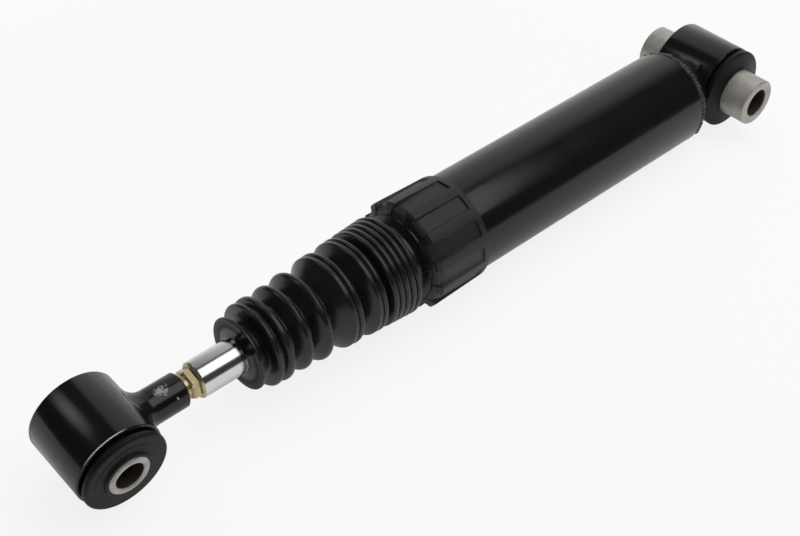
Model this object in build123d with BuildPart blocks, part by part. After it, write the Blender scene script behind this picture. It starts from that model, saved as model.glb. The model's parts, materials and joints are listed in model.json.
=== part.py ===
"""Telescopic twin-tube shock absorber with a rubber-bushed eye at each end and a dust gaiter.

The origin is the centre of the body eye. +X runs along the damper to the rod eye, +Y along the
body eye's bore and +Z up. Sizes are millimetres, and the damper is drawn fully extended.
"""
import os
from math import cos, radians, sin, sqrt

from build123d import *

os.makedirs("parts", exist_ok=True)

# Clearances
fit_gap = 0.05
stop_gap = 0.3

# Reservoir tube, rolled over at the rod end
tube_r = 23.5
tube_wall = 1.75
tube_length = 176.0
lip_width = 5.5
lip_round = 1.5

# Both eyes
sleeve_edge = 0.6
ring_near_edge = 0.6
collar_wall = 1.4

# Body eye: ring, rubber bush with a flange on its near side, and long inner sleeve
body_ring_r = 20.25
body_ring_wall = 3.5
body_ring_near = 13.0
body_ring_far = 18.3
body_ring_far_edge = 1.2
body_sleeve_r = 11.75
body_bore_r = 7.0
body_sleeve_half = 33.2
body_flange_inset = 0.05
body_flange_groove = 1.6
body_flange_edge = 4.4
body_flange_lift = 6.2
body_flange_round = 0.8
body_collar_lift = 0.4

# Rod eye: ring, rubber bush and short inner sleeve, turned about the damper's axis
rod_eye_twist = -7.0
rod_ring_r = 19.0
rod_ring_wall = 3.25
rod_ring_near = 15.0
rod_ring_far = 17.2
rod_ring_far_edge = 0.8
rod_sleeve_r = 9.0
rod_bore_r = 6.15
rod_sleeve_half = 21.7
rod_flange_inset = 0.6
rod_flange_groove = 1.9
rod_flange_edge = 4.8
rod_flange_lift = 4.8
rod_flange_round = 2.3
rod_collar_lift = 1.2

# Stem and rod
stem_r = 7.6
stem_reach = 38.3
stem_chamfer = 0.8
weld_leg = 4.4
weld_hollow = 0.6
rod_r = 8.0
rod_chamfer = 1.4
bare_rod = 16.3
hex_flats = 12.0
hex_length = 3.6
hex_turn = 40.7
neck_length = 2.3
stud_r = 5.0
stud_depth = 12.0
stud_hole_spare = 1.5

# Gaiter cap with its ring of pockets
cap_length = 34.4
cap_overhang = 7.6
cap_wall = 2.2
cap_taper = 0.7
cap_round = 3.6
pocket_count = 12
pocket_turn = 5.3
pocket_width = 8.2
pocket_floor_wall = 0.55
pocket_back_rim = 2.8

# Gaiter: a conical nose, then crests on a cone that widens towards the cap
gaiter_length = 90.2
gaiter_wall = 1.5
gaiter_skirt_step = 2.9
gaiter_bead_t = 3.0
skirt_lead = 5.0
lip_land = 2.0
nose_length = 7.2
nose_r = 16.0
first_crest_r = 18.6
last_crest_step = 0.3
collar_pitch = 6.1
collar_count = 2
fold_count = 2
lip_fold_count = 2
lip_fold_extra = 2.8
lip_spacing = 3.0
ridge_lead = 5.6
ridge_pitch = 3.1
ridge_count = 5
collar_depth = 3.0
fold_depth = 5.2
lip_depth = 1.2
ridge_depth = 1.5
crest_half = 1.3
crest_round = 0.8

# Pressure tube, rod guide and seal
pressure_r = 16.5
pressure_wall = 1.5
washer_t = 1.6
washer_bore_gap = 1.5
seal_t = 6.0
guide_flange_t = 8.0
guide_spigot = 10.0
guide_bush_wall = 1.2
drain_count = 4
drain_r = 1.2
seal_lip_depth = 2.2

# Base cap, the welds on it, and the base valve
base_reach = 11.75
base_floor = 4.45
base_rim_lap = 4.25
base_rim_t = 1.8
dome_lap = 4.75
dome_tip_r = 14.0
dome_bulge = 0.9
tube_bead_r = 2.2
tube_bead_set = 0.8
eye_bead_r = 2.2
eye_bead_round = 1.2
eye_bead_run = 15.0
eye_bead_lift = 0.4
base_skirt = 7.7
base_skirt_wall = 2.6
base_flange_t = 3.0
base_spigot = 4.0
base_port_r = 1.5
base_port_ring_r = 9.0
base_port_count = 6
base_slot_width = 6.0
base_disc_r = 11.0
base_disc_t = 0.9
base_check_r = 12.6
base_rivet_r = 3.0
base_rivet_head_r = 5.5
base_rivet_head_t = 2.0

# Piston, its valves and the rebound stop
piston_length = 18.0
piston_side_gap = 0.3
piston_hub_r = 7.0
band_length = 10.0
band_t = 1.9
band_end_gap = 0.1
tenon_r = 5.0
tenon_spare = 2.0
piston_port_r = 1.6
piston_port_ring_r = 9.4
piston_port_count = 8
disc_t = 1.5
piston_disc_r = 11.5
check_t = 0.4
check_r = 12.4
spring_t = 0.4
spring_rise = 1.6
spring_window_r = 1.3
spring_window_count = 6
nut_flats = 17.0
nut_length = 9.0
buffer_length = 6.4
buffer_r = 12.0
collar_length = 4.0
collar_r = 10.6
piston_drop = 25.0

# Places along the damper that follow from the sizes above
tube_inner_r = tube_r - tube_wall
body_ring_inner_r = body_ring_r - body_ring_wall
rod_ring_inner_r = rod_ring_r - rod_ring_wall
tube_end_x = body_ring_r + base_reach
tube_top_x = tube_end_x + tube_length
saddle_r = body_ring_r + fit_gap
dome_rim_r = tube_inner_r - fit_gap
dome_tip_x = body_ring_r - dome_lap
dome_tip_z = sqrt(saddle_r**2 - dome_tip_x**2)
gaiter_skirt_r = tube_r - gaiter_skirt_step
last_crest_r = tube_r - last_crest_step
cap_front_x = tube_top_x + cap_overhang
cap_rear_x = cap_front_x - cap_length
nose_x = cap_front_x + gaiter_length
rod_front_x = nose_x + bare_rod
hex_end_x = rod_front_x + hex_length
stem_end_x = hex_end_x + neck_length
rod_eye_x = stem_end_x + stem_reach
washer_x = tube_top_x - tube_wall - washer_t
seal_x = washer_x - seal_t
guide_shoulder_x = seal_x - guide_flange_t
guide_end_x = guide_shoulder_x - guide_spigot
buffer_x = guide_end_x - stop_gap - buffer_length
collar_x = buffer_x - collar_length
shoulder_x = collar_x - piston_drop
piston_top_x = shoulder_x - spring_rise - check_t
piston_end_x = piston_top_x - piston_length
nut_top_x = piston_end_x - disc_t
nut_end_x = nut_top_x - nut_length
base_seat_x = saddle_r + base_floor
base_flange_x = base_seat_x + base_skirt
base_tube_x = base_flange_x + base_flange_t
base_top_x = base_tube_x + base_spigot
pressure_inner_r = pressure_r - pressure_wall

rod_eye_y = (0, cos(radians(rod_eye_twist)), sin(radians(rod_eye_twist)))
rod_eye_plane = Plane(origin=(rod_eye_x, 0, 0), x_dir=rod_eye_y, z_dir=(1, 0, 0))
rod_eye_side = Plane(origin=(rod_eye_x, 0, 0), x_dir=(1, 0, 0), z_dir=rod_eye_y)
rod_eye_axis = Axis((rod_eye_x, 0, 0), rod_eye_y)


def eye_tube(near, far, outer_r, inner_r, near_edge, far_edge, plane, axis):
    """A plain tube about an eye's axis with the rims at its two ends broken by chamfers."""
    with BuildPart() as tube:
        with BuildSketch(plane):
            with Locations(((near - far) / 2, (outer_r + inner_r) / 2)):
                Rectangle(near + far, outer_r - inner_r)
            chamfer(vertices().group_by(Axis.X)[-1], near_edge)
            chamfer(vertices().group_by(Axis.X)[0], far_edge)
        revolve(axis=axis)
    return tube.part


def eye_bush(near, far, inner_r, sleeve_r, rim_r, groove, edge, lift, rounding, collar_lift, plane, axis):
    """Rubber between ring and sleeve: level with the ring's far end, with a flange past its near end."""
    hole_r = sleeve_r + fit_gap
    collar_r = hole_r + collar_wall
    neck = near + groove
    shoulder = near + edge
    face = near + lift
    bulge = rounding * (1 - sqrt(0.5))
    with BuildPart() as bush:
        with BuildSketch(plane):
            with BuildLine():
                Polyline(
                    (-far, inner_r),
                    (-far, hole_r),
                    (face + collar_lift, hole_r),
                    (face + collar_lift, collar_r),
                    (face, collar_r),
                    (shoulder, rim_r - rounding),
                )
                ThreePointArc(
                    (shoulder, rim_r - rounding),
                    (shoulder - bulge, rim_r - bulge),
                    (shoulder - rounding, rim_r),
                )
                Polyline((shoulder - rounding, rim_r), (neck, rim_r), (neck, inner_r), (-far, inner_r))
            make_face()
        revolve(axis=axis)
    return bush.part


def dome_section(gap):
    """Half section of the base cap's domed outside, grown by a gap, from its tip to the tube's end."""
    tip = (dome_tip_x - gap, dome_tip_r + gap)
    rim = (tube_end_x, dome_rim_r + gap)
    with BuildSketch() as section:
        with BuildLine():
            SagittaArc(tip, rim, dome_bulge)
            Polyline(rim, (tube_end_x, 0), (dome_tip_x - gap, 0), tip)
        make_face()
    return section.sketch


def eye_bead(side):
    """Weld bead laid across one side of the saddle, between the base cap and the body eye ring."""
    with BuildPart() as bead:
        with BuildSketch(Plane.XZ):
            with Locations((dome_tip_x, side * (dome_tip_z + eye_bead_lift))):
                Circle(eye_bead_r)
        extrude(amount=eye_bead_run / 2, both=True)
        fillet(edges().filter_by(GeomType.CIRCLE), eye_bead_round)
        with BuildSketch(Plane.XZ):
            Circle(saddle_r)
        extrude(amount=eye_bead_run, both=True, mode=Mode.SUBTRACT)
        with BuildSketch(Plane.XZ):
            add(dome_section(fit_gap))
        revolve(axis=Axis.X, mode=Mode.SUBTRACT)
    return bead.part


def spring_plate(foot_x, rim_r, hole_r):
    """A dished spring plate with windows, standing on its rim and rising towards its hole."""
    with BuildPart() as plate:
        with BuildSketch(Plane.XZ):
            with BuildLine():
                Polyline(
                    (foot_x, rim_r),
                    (foot_x + spring_t, rim_r),
                    (foot_x + spring_rise, hole_r),
                    (foot_x + spring_rise - spring_t, hole_r),
                    close=True,
                )
            make_face()
        revolve(axis=Axis.X)
        with Locations(Plane.YZ.offset(foot_x)):
            with PolarLocations((rim_r + hole_r) / 2, spring_window_count):
                Cylinder(spring_window_r, 4 * spring_rise, mode=Mode.SUBTRACT)
    return plate.part


# Reservoir tube: rolled inwards over the seal washer
with BuildPart() as reservoir_tube:
    with BuildSketch(Plane.XZ):
        with BuildLine():
            lip_bulge = lip_round * (1 - sqrt(0.5))
            Line((tube_end_x, tube_r), (tube_top_x - lip_round, tube_r))
            ThreePointArc(
                (tube_top_x - lip_round, tube_r),
                (tube_top_x - lip_bulge, tube_r - lip_bulge),
                (tube_top_x, tube_r - lip_round),
            )
            Polyline(
                (tube_top_x, tube_r - lip_round),
                (tube_top_x, tube_r - tube_wall - lip_width),
                (tube_top_x - tube_wall, tube_r - tube_wall - lip_width),
                (tube_top_x - tube_wall, tube_inner_r),
                (tube_end_x, tube_inner_r),
                (tube_end_x, tube_r),
            )
        make_face()
    revolve(axis=Axis.X)
reservoir_tube.part.label = "reservoir_tube"
export_step(reservoir_tube.part, "parts/reservoir_tube.step")

# Base cap: pressed cup with a domed outside, saddle-cut for the eye ring, with a rim inside the tube
with BuildPart() as base_cap:
    with BuildSketch(Plane.XZ):
        add(dome_section(0))
        with Locations((tube_end_x, 0)):
            Rectangle(base_rim_lap, dome_rim_r, align=Align.MIN)
        with BuildLine():
            Polyline(
                (base_seat_x, 0),
                (base_seat_x, pressure_r),
                (tube_end_x + base_rim_lap, tube_inner_r - base_rim_t),
                (tube_end_x + base_rim_lap, 0),
                close=True,
            )
        make_face(mode=Mode.SUBTRACT)
    revolve(axis=Axis.X)
    with BuildSketch(Plane.XZ):
        Circle(saddle_r)
    extrude(amount=tube_r, both=True, mode=Mode.SUBTRACT)
base_cap.part.label = "base_cap"
export_step(base_cap.part, "parts/base_cap.step")

# Weld bead round the tube's end, in the corner between tube and base cap
with BuildPart() as base_cap_weld:
    with BuildSketch(Plane.XZ):
        with Locations((tube_end_x - tube_bead_set, tube_r - tube_bead_r)):
            Circle(tube_bead_r)
        with Locations((tube_end_x, tube_r - tube_bead_r)):
            Rectangle(tube_bead_r, 2 * tube_bead_r, align=(Align.MIN, Align.CENTER), mode=Mode.SUBTRACT)
        add(dome_section(fit_gap), mode=Mode.SUBTRACT)
    revolve(axis=Axis.X)
base_cap_weld.part.label = "base_cap_weld"
export_step(base_cap_weld.part, "parts/base_cap_weld.step")

# Body eye ring and the two beads that hold it
body_eye_ring = eye_tube(
    body_ring_near, body_ring_far, body_ring_r, body_ring_inner_r, ring_near_edge, body_ring_far_edge,
    Plane.YZ, Axis.Y,
)
body_eye_ring.label = "body_eye_ring"
export_step(body_eye_ring, "parts/body_eye_ring.step")
body_eye_weld = eye_bead(1)
body_eye_weld.label = "body_eye_weld"
export_step(body_eye_weld, "parts/body_eye_weld.step")
body_eye_weld_lower = eye_bead(-1)
body_eye_weld_lower.label = "body_eye_weld_lower"
export_step(body_eye_weld_lower, "parts/body_eye_weld_lower.step")

# Body eye bush and sleeve
body_eye_bush = eye_bush(
    body_ring_near, body_ring_far, body_ring_inner_r - fit_gap, body_sleeve_r,
    body_ring_r - body_flange_inset, body_flange_groove, body_flange_edge,
    body_flange_lift, body_flange_round, body_collar_lift,
    Plane.YZ, Axis.Y,
)
body_eye_bush.label = "body_eye_bush"
export_step(body_eye_bush, "parts/body_eye_bush.step")
body_eye_sleeve = eye_tube(
    body_sleeve_half, body_sleeve_half, body_sleeve_r, body_bore_r, sleeve_edge, sleeve_edge,
    Plane.YZ, Axis.Y,
)
body_eye_sleeve.label = "body_eye_sleeve"
export_step(body_eye_sleeve, "parts/body_eye_sleeve.step")

# Pressure tube that the piston runs in
with BuildPart() as pressure_tube:
    with BuildSketch(Plane.YZ.offset(base_tube_x)):
        Circle(pressure_r)
        Circle(pressure_inner_r, mode=Mode.SUBTRACT)
    extrude(amount=guide_shoulder_x - base_tube_x)
pressure_tube.part.label = "pressure_tube"
export_step(pressure_tube.part, "parts/pressure_tube.step")

# Base valve body: flange under the pressure tube on a slotted skirt that stands in the base cap
with BuildPart() as base_valve_body:
    with BuildSketch(Plane.XZ):
        with BuildLine():
            Polyline(
                (base_seat_x, pressure_r - base_skirt_wall),
                (base_seat_x, pressure_r - fit_gap),
                (base_tube_x, pressure_r - fit_gap),
                (base_tube_x, pressure_inner_r - fit_gap),
                (base_top_x, pressure_inner_r - fit_gap),
                (base_top_x, base_rivet_r + fit_gap),
                (base_flange_x, base_rivet_r + fit_gap),
                (base_flange_x, pressure_r - base_skirt_wall),
                close=True,
            )
        make_face()
    revolve(axis=Axis.X)
    with Locations(Plane.YZ.offset(base_seat_x)):
        Box(2 * pressure_r, base_slot_width, base_skirt, mode=Mode.SUBTRACT)
        Box(base_slot_width, 2 * pressure_r, base_skirt, mode=Mode.SUBTRACT)
    with Locations(Plane.YZ.offset(base_flange_x)):
        with PolarLocations(base_port_ring_r, base_port_count):
            Cylinder(base_port_r, 4 * (base_top_x - base_flange_x), mode=Mode.SUBTRACT)
base_valve_body.part.label = "base_valve_body"
export_step(base_valve_body.part, "parts/base_valve_body.step")

# Base valve discs, check disc, spring plate and the rivet that holds them
with BuildPart() as base_valve_discs:
    with BuildSketch(Plane.YZ.offset(base_flange_x - base_disc_t)):
        Circle(base_disc_r)
        Circle(base_rivet_r + fit_gap, mode=Mode.SUBTRACT)
    extrude(amount=base_disc_t)
base_valve_discs.part.label = "base_valve_discs"
export_step(base_valve_discs.part, "parts/base_valve_discs.step")

with BuildPart() as base_valve_check_disc:
    with BuildSketch(Plane.YZ.offset(base_top_x)):
        Circle(base_check_r)
        Circle(base_rivet_r + fit_gap, mode=Mode.SUBTRACT)
    extrude(amount=check_t)
base_valve_check_disc.part.label = "base_valve_check_disc"
export_step(base_valve_check_disc.part, "parts/base_valve_check_disc.step")

base_valve_spring = spring_plate(base_top_x + check_t, base_check_r, base_rivet_r + fit_gap)
base_valve_spring.label = "base_valve_spring"
export_step(base_valve_spring, "parts/base_valve_spring.step")

with BuildPart() as base_valve_rivet:
    with BuildSketch(Plane.XZ):
        with BuildLine():
            rivet_foot_x = base_flange_x - base_disc_t
            rivet_head_x = base_top_x + check_t + spring_rise
            Polyline(
                (rivet_foot_x - base_rivet_head_t, 0),
                (rivet_foot_x - base_rivet_head_t, base_rivet_head_r),
                (rivet_foot_x, base_rivet_head_r),
                (rivet_foot_x, base_rivet_r),
                (rivet_head_x, base_rivet_r),
                (rivet_head_x, base_rivet_head_r),
                (rivet_head_x + base_rivet_head_t, base_rivet_head_r),
                (rivet_head_x + base_rivet_head_t, 0),
                close=True,
            )
        make_face()
    revolve(axis=Axis.X)
base_valve_rivet.part.label = "base_valve_rivet"
export_step(base_valve_rivet.part, "parts/base_valve_rivet.step")

# Rod guide with its drain holes, and the bush pressed into it
with BuildPart() as rod_guide:
    guide_bore_r = rod_r + fit_gap + guide_bush_wall + fit_gap
    with BuildSketch(Plane.XZ):
        with BuildLine():
            Polyline(
                (guide_end_x, guide_bore_r),
                (guide_end_x, pressure_inner_r - fit_gap),
                (guide_shoulder_x, pressure_inner_r - fit_gap),
                (guide_shoulder_x, tube_inner_r - fit_gap),
                (seal_x, tube_inner_r - fit_gap),
                (seal_x, guide_bore_r),
                close=True,
            )
        make_face()
    revolve(axis=Axis.X)
    with Locations(Plane.YZ.offset(guide_shoulder_x)):
        with PolarLocations((pressure_r + tube_inner_r) / 2, drain_count):
            Cylinder(drain_r, 4 * guide_flange_t, mode=Mode.SUBTRACT)
rod_guide.part.label = "rod_guide"
export_step(rod_guide.part, "parts/rod_guide.step")

with BuildPart() as guide_bush:
    with BuildSketch(Plane.YZ.offset(guide_end_x)):
        Circle(rod_r + fit_gap + guide_bush_wall)
        Circle(rod_r + fit_gap, mode=Mode.SUBTRACT)
    extrude(amount=seal_x - guide_end_x)
guide_bush.part.label = "guide_bush"
export_step(guide_bush.part, "parts/guide_bush.step")

# Rod seal with a lip at each face, and the washer that the tube is rolled over
with BuildPart() as rod_seal:
    with BuildSketch(Plane.XZ):
        with BuildLine():
            Polyline(
                (seal_x, rod_r + fit_gap),
                (seal_x, tube_inner_r - fit_gap),
                (washer_x, tube_inner_r - fit_gap),
                (washer_x, rod_r + fit_gap),
                ((seal_x + washer_x) / 2, rod_r + seal_lip_depth),
                close=True,
            )
        make_face()
    revolve(axis=Axis.X)
rod_seal.part.label = "rod_seal"
export_step(rod_seal.part, "parts/rod_seal.step")

with BuildPart() as seal_washer:
    with BuildSketch(Plane.YZ.offset(washer_x)):
        Circle(tube_inner_r - fit_gap)
        Circle(rod_r + washer_bore_gap, mode=Mode.SUBTRACT)
    extrude(amount=washer_t)
seal_washer.part.label = "seal_washer"
export_step(seal_washer.part, "parts/seal_washer.step")

# Piston rod: tenon for the piston, ground length, hexagon, neck and stud
with BuildPart() as piston_rod:
    with BuildSketch(Plane.XZ):
        with BuildLine():
            Polyline(
                (nut_end_x - tenon_spare, 0),
                (nut_end_x - tenon_spare, tenon_r),
                (shoulder_x, tenon_r),
                (shoulder_x, rod_r),
                (rod_front_x - rod_chamfer, rod_r),
                (rod_front_x, rod_r - rod_chamfer),
                (rod_front_x, stud_r),
                (stem_end_x + stud_depth, stud_r),
                (stem_end_x + stud_depth, 0),
                close=True,
            )
        make_face()
    revolve(axis=Axis.X)
    with BuildSketch(Plane.YZ.offset(rod_front_x)):
        RegularPolygon(hex_flats / 2, 6, major_radius=False, rotation=hex_turn)
    extrude(amount=hex_length)
piston_rod.part.label = "piston_rod"
export_step(piston_rod.part, "parts/piston_rod.step")

# Piston with ports, a hub that meets the rod's shoulder and a groove for its band
with BuildPart() as piston:
    piston_r = pressure_inner_r - piston_side_gap
    groove_r = pressure_inner_r - fit_gap - band_t - fit_gap
    groove_half = band_length / 2 + band_end_gap
    groove_mid_x = (piston_top_x + piston_end_x) / 2
    with BuildSketch(Plane.XZ):
        with BuildLine():
            Polyline(
                (piston_end_x, tenon_r + fit_gap),
                (piston_end_x, piston_r),
                (groove_mid_x - groove_half, piston_r),
                (groove_mid_x - groove_half, groove_r),
                (groove_mid_x + groove_half, groove_r),
                (groove_mid_x + groove_half, piston_r),
                (piston_top_x, piston_r),
                (piston_top_x, piston_hub_r),
                (shoulder_x, piston_hub_r),
                (shoulder_x, tenon_r + fit_gap),
                close=True,
            )
        make_face()
    revolve(axis=Axis.X)
    with Locations(Plane.YZ.offset(piston_end_x)):
        with PolarLocations(piston_port_ring_r, piston_port_count):
            Cylinder(piston_port_r, 4 * piston_length, mode=Mode.SUBTRACT)
piston.part.label = "piston"
export_step(piston.part, "parts/piston.step")

with BuildPart() as piston_band:
    with BuildSketch(Plane.YZ.offset(groove_mid_x)):
        Circle(pressure_inner_r - fit_gap)
        Circle(pressure_inner_r - fit_gap - band_t, mode=Mode.SUBTRACT)
    extrude(amount=band_length / 2, both=True)
piston_band.part.label = "piston_band"
export_step(piston_band.part, "parts/piston_band.step")

# Piston valve discs, check disc, spring plate and nut
with BuildPart() as piston_rebound_discs:
    with BuildSketch(Plane.YZ.offset(nut_top_x)):
        Circle(piston_disc_r)
        Circle(tenon_r + fit_gap, mode=Mode.SUBTRACT)
    extrude(amount=disc_t)
piston_rebound_discs.part.label = "piston_rebound_discs"
export_step(piston_rebound_discs.part, "parts/piston_rebound_discs.step")

with BuildPart() as piston_check_disc:
    with BuildSketch(Plane.YZ.offset(piston_top_x)):
        Circle(check_r)
        Circle(piston_hub_r + fit_gap, mode=Mode.SUBTRACT)
    extrude(amount=check_t)
piston_check_disc.part.label = "piston_check_disc"
export_step(piston_check_disc.part, "parts/piston_check_disc.step")

piston_spring = spring_plate(piston_top_x + check_t, check_r, piston_hub_r + fit_gap)
piston_spring.label = "piston_spring"
export_step(piston_spring, "parts/piston_spring.step")

with BuildPart() as piston_nut:
    with BuildSketch(Plane.YZ.offset(nut_end_x)):
        RegularPolygon(nut_flats / 2, 6, major_radius=False)
        Circle(tenon_r + fit_gap, mode=Mode.SUBTRACT)
    extrude(amount=nut_length)
piston_nut.part.label = "piston_nut"
export_step(piston_nut.part, "parts/piston_nut.step")

# Rebound stop: steel collar on the rod with a rubber buffer above it
with BuildPart() as rebound_collar:
    with BuildSketch(Plane.YZ.offset(collar_x)):
        Circle(collar_r)
        Circle(rod_r + fit_gap, mode=Mode.SUBTRACT)
    extrude(amount=collar_length)
rebound_collar.part.label = "rebound_collar"
export_step(rebound_collar.part, "parts/rebound_collar.step")

with BuildPart() as rebound_buffer:
    with BuildSketch(Plane.XZ):
        with BuildLine():
            Polyline(
                (buffer_x, rod_r + fit_gap),
                (buffer_x, collar_r),
                (buffer_x + buffer_length / 2, buffer_r),
                (buffer_x + buffer_length, collar_r),
                (buffer_x + buffer_length, rod_r + fit_gap),
                close=True,
            )
        make_face()
    revolve(axis=Axis.X)
rebound_buffer.part.label = "rebound_buffer"
export_step(rebound_buffer.part, "parts/rebound_buffer.step")

# Rod eye stem, saddle-cut onto the ring and drilled for the rod's stud
with BuildPart() as rod_eye_stem:
    with BuildSketch(Plane.XZ):
        with BuildLine():
            hole_end_x = stem_end_x + stud_depth + stud_hole_spare
            Polyline(
                (stem_end_x, stud_r + fit_gap),
                (stem_end_x, stem_r - stem_chamfer),
                (stem_end_x + stem_chamfer, stem_r),
                (rod_eye_x, stem_r),
                (rod_eye_x, 0),
                (hole_end_x, 0),
                (hole_end_x, stud_r + fit_gap),
                close=True,
            )
        make_face()
    revolve(axis=Axis.X)
    with BuildSketch(rod_eye_side):
        Circle(rod_ring_r + fit_gap)
    extrude(amount=rod_ring_near, both=True, mode=Mode.SUBTRACT)
rod_eye_stem.part.label = "rod_eye_stem"
export_step(rod_eye_stem.part, "parts/rod_eye_stem.step")

# Fillet weld between stem and rod eye ring
with BuildPart() as rod_eye_weld:
    with BuildSketch(Plane.XZ):
        with BuildLine():
            weld_toe = (rod_eye_x - rod_ring_r - weld_leg, stem_r + fit_gap)
            weld_foot = (rod_eye_x - rod_ring_r, stem_r + weld_leg)
            SagittaArc(weld_toe, weld_foot, -weld_hollow)
            Polyline(
                weld_foot,
                (rod_eye_x, stem_r + weld_leg),
                (rod_eye_x, stem_r + fit_gap),
                weld_toe,
            )
        make_face()
    revolve(axis=Axis.X)
    with BuildSketch(rod_eye_side):
        Circle(rod_ring_r + fit_gap)
    extrude(amount=rod_ring_near, both=True, mode=Mode.SUBTRACT)
rod_eye_weld.part.label = "rod_eye_weld"
export_step(rod_eye_weld.part, "parts/rod_eye_weld.step")

# Rod eye ring, bush and sleeve
rod_eye_ring = eye_tube(
    rod_ring_near, rod_ring_far, rod_ring_r, rod_ring_inner_r, ring_near_edge, rod_ring_far_edge,
    rod_eye_plane, rod_eye_axis,
)
rod_eye_ring.label = "rod_eye_ring"
export_step(rod_eye_ring, "parts/rod_eye_ring.step")
rod_eye_bush = eye_bush(
    rod_ring_near, rod_ring_far, rod_ring_inner_r - fit_gap, rod_sleeve_r, rod_ring_r - rod_flange_inset,
    rod_flange_groove, rod_flange_edge, rod_flange_lift, rod_flange_round, rod_collar_lift,
    rod_eye_plane, rod_eye_axis,
)
rod_eye_bush.label = "rod_eye_bush"
export_step(rod_eye_bush, "parts/rod_eye_bush.step")
rod_eye_sleeve = eye_tube(
    rod_sleeve_half, rod_sleeve_half, rod_sleeve_r, rod_bore_r, sleeve_edge, sleeve_edge,
    rod_eye_plane, rod_eye_axis,
)
rod_eye_sleeve.label = "rod_eye_sleeve"
export_step(rod_eye_sleeve, "parts/rod_eye_sleeve.step")

# Gaiter cap: tapered moulding over the tube's end with flat pockets between its ribs
with BuildPart() as gaiter_cap:
    cap_front_r = tube_r + cap_wall
    with BuildSketch(Plane.XZ):
        with BuildLine():
            cap_bulge = cap_round * (1 - sqrt(0.5))
            ThreePointArc(
                (cap_front_x - cap_round, cap_front_r),
                (cap_front_x - cap_bulge, cap_front_r - cap_bulge),
                (cap_front_x, cap_front_r - cap_round),
            )
            Polyline(
                (cap_front_x, cap_front_r - cap_round),
                (cap_front_x, gaiter_skirt_r + fit_gap),
                (tube_top_x + gaiter_bead_t, gaiter_skirt_r + fit_gap),
                (tube_top_x + gaiter_bead_t, tube_r + fit_gap),
                (cap_rear_x, tube_r + fit_gap),
                (cap_rear_x, cap_front_r - cap_taper),
                (cap_front_x - cap_round, cap_front_r),
            )
        make_face()
    revolve(axis=Axis.X)
    with Locations(Plane.YZ.offset(cap_rear_x + pocket_back_rim)):
        with PolarLocations(tube_r + fit_gap + pocket_floor_wall, pocket_count, start_angle=pocket_turn):
            Box(
                2 * cap_wall, pocket_width, cap_length,
                align=(Align.MIN, Align.CENTER, Align.MIN), mode=Mode.SUBTRACT,
            )
gaiter_cap.part.label = "gaiter_cap"
export_step(gaiter_cap.part, "parts/gaiter_cap.step")

# Gaiter crests behind the nose, as (distance from the nose's tip, depth of the valley after it)
last_crest = gaiter_length - skirt_lead
ridges = [(last_crest - ridge_pitch * step, ridge_depth) for step in reversed(range(ridge_count))]
collars = [(nose_length + collar_pitch * (step + 1), collar_depth) for step in range(collar_count)]
fold_room = ridges[0][0] - ridge_lead - lip_spacing - collars[-1][0]
fold_pitch = (fold_room - lip_fold_count * lip_fold_extra) / (fold_count + lip_fold_count)
folds = [(collars[-1][0] + fold_pitch * (step + 1), fold_depth) for step in range(fold_count)]
lips = []
for step in range(lip_fold_count):
    lip_fold = folds[-1][0] + (fold_pitch + lip_fold_extra) * (step + 1)
    lips += [(lip_fold, lip_depth), (lip_fold + lip_spacing, fold_depth)]
crests = collars + folds + lips + ridges
crest_slope = (last_crest_r - first_crest_r) / (last_crest - crests[0][0])

# The nose's own crest comes first, and each crest has a valley after it
depths = [collar_depth] + [depth for _, depth in crests]
crest_points = [(nose_x - nose_length, nose_r)]
for place, _ in crests:
    crest_points.append((nose_x - place, first_crest_r + crest_slope * (place - crests[0][0])))
lip_r = rod_r + fit_gap
valleys = [(nose_x, lip_r)]
for (front_x, front_r), (rear_x, rear_r), depth in zip(crest_points, crest_points[1:], depths):
    valleys.append(((front_x + rear_x) / 2, min(front_r, rear_r) - depth))
valleys.append((cap_front_x, gaiter_skirt_r))

# Gaiter: conical nose that grips the rod, the folds, and a beaded skirt held under the cap
with BuildPart() as gaiter:
    with BuildSketch(Plane.XZ):
        with BuildLine():
            for (crest_x, crest_r), before, after in zip(crest_points, valleys, valleys[1:]):
                rise = (crest_x + crest_half, crest_r - crest_round)
                fall = (crest_x - crest_half, crest_r - crest_round)
                Line(before, rise)
                ThreePointArc(rise, (crest_x, crest_r), fall)
                Line(fall, after)
            inner_skirt_r = gaiter_skirt_r - gaiter_wall
            Polyline(
                (cap_front_x, gaiter_skirt_r),
                (tube_top_x + gaiter_bead_t, gaiter_skirt_r),
                (tube_top_x + gaiter_bead_t, tube_r - lip_round),
                (tube_top_x, tube_r - lip_round),
                (tube_top_x, inner_skirt_r),
                (crest_points[-ridge_count][0], inner_skirt_r),
            )
            inner = [(crest_points[0][0], nose_r - gaiter_wall)]
            for crest, valley in zip(crest_points[1:], valleys[1:-ridge_count]):
                inner += [(valley[0], valley[1] - gaiter_wall), (crest[0], crest[1] - gaiter_wall)]
            inner[-1] = (crest_points[-ridge_count][0], inner_skirt_r)
            Polyline((nose_x, lip_r), (nose_x - lip_land, lip_r), *inner)
        make_face()
    revolve(axis=Axis.X)
gaiter.part.label = "gaiter"
export_step(gaiter.part, "parts/gaiter.step")
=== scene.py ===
import json
from math import ceil, cos, pi, radians, sin, sqrt, tan, tau

import bmesh
import bpy
from mathutils import Matrix, Vector, noise


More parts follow.
